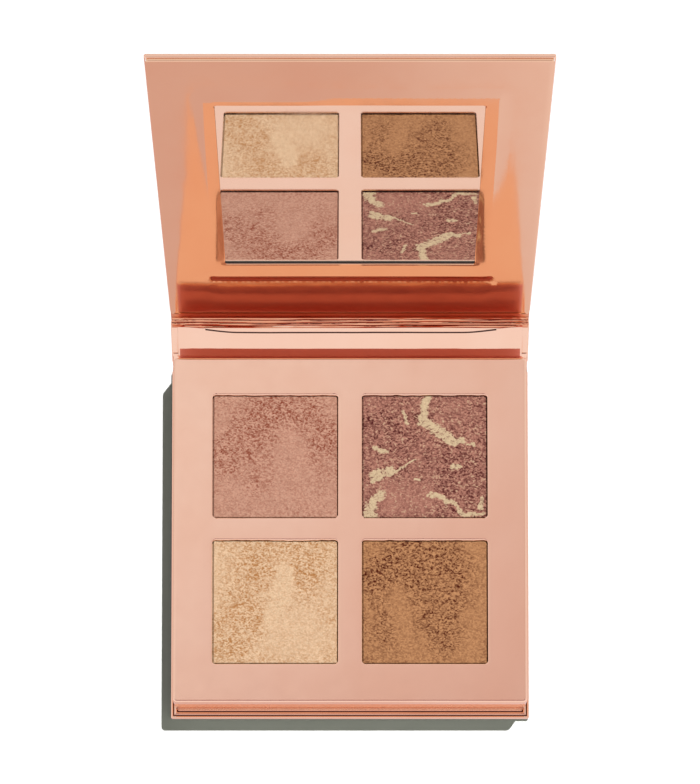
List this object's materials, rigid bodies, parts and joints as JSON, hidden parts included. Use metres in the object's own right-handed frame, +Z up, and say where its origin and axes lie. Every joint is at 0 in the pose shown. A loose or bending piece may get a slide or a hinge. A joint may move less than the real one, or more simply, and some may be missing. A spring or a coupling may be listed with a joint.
{
  "type": "eyeshadow palette",
  "caption": "Open book-style eyeshadow palette: a foil-wrapped tray of pressed powders on a folding cover, with a mirror in the lid.",
  "frame": {"origin": "centre of the underside of the bottom cover", "axes": "+Z up from the table, +Y from the front edge towards the folds, +X to the right seen from the front"},
  "size_m": [0.1024, 0.1464, 0.1078],
  "materials": {
    "rose_foil": "glossy rose-gold metallic foil paper",
    "greyboard": "matte solid greyboard",
    "card": "matte white card",
    "foam": "matte black foam spacer",
    "adhesive": "satin double-sided tape",
    "pan_metal": "satin tin plate",
    "magnet_metal": "satin nickel plate",
    "mirror_glass": "polished mirror",
    "powder_pink": "matte pressed powder, pink",
    "powder_mauve": "matte pressed powder, mauve with cream veins",
    "powder_cream": "matte pressed powder, cream",
    "powder_bronze": "matte pressed powder, bronze"
  },
  "bodies": {
    "base": {"bottom_wrap": "rose_foil", "bottom_board": "greyboard", "tray_adhesive": "adhesive", "tray_floor": "card", "tray_walls": "greyboard", "foam_block": "foam", "pan_bed": "card", "window_board": "greyboard", "tray_wrap": "rose_foil", "tray_magnet_left": "magnet_metal", "tray_magnet_right": "magnet_metal", "pan_rear_left": "pan_metal", "powder_rear_left": "powder_pink", "glue_pad_rear_left": "adhesive", "pan_rear_right": "pan_metal", "powder_rear_right": "powder_mauve", "glue_pad_rear_right": "adhesive", "pan_front_left": "pan_metal", "powder_front_left": "powder_cream", "glue_pad_front_left": "adhesive", "pan_front_right": "pan_metal", "powder_front_right": "powder_bronze", "glue_pad_front_right": "adhesive"},
    "spine": {"spine_wrap": "rose_foil", "spine_board": "greyboard", "spine_liner": "rose_foil"},
    "lid": {"lid_wrap": "rose_foil", "lid_board": "greyboard", "lid_panel_card": "card", "lid_panel_wrap": "rose_foil", "mirror_adhesive": "adhesive", "mirror": "mirror_glass", "lid_magnet_left": "magnet_metal", "lid_magnet_right": "magnet_metal"}
  },
  "joints": [
    {"name": "spine_fold", "type": "hinge", "parent": "base", "child": "spine", "pos_m": [0, 0.05215, 0.0001], "axis": [1, 0, 0], "range_deg": [-36.8, 53.2], "stiffness_Nm_per_rad": 0.12},
    {"name": "lid_fold", "type": "hinge", "parent": "spine", "child": "lid", "pos_m": [0, 0.06484, 0.00959], "axis": [1, 0, 0], "range_deg": [-35.6, 54.4], "stiffness_Nm_per_rad": 0.12}
  ]
}
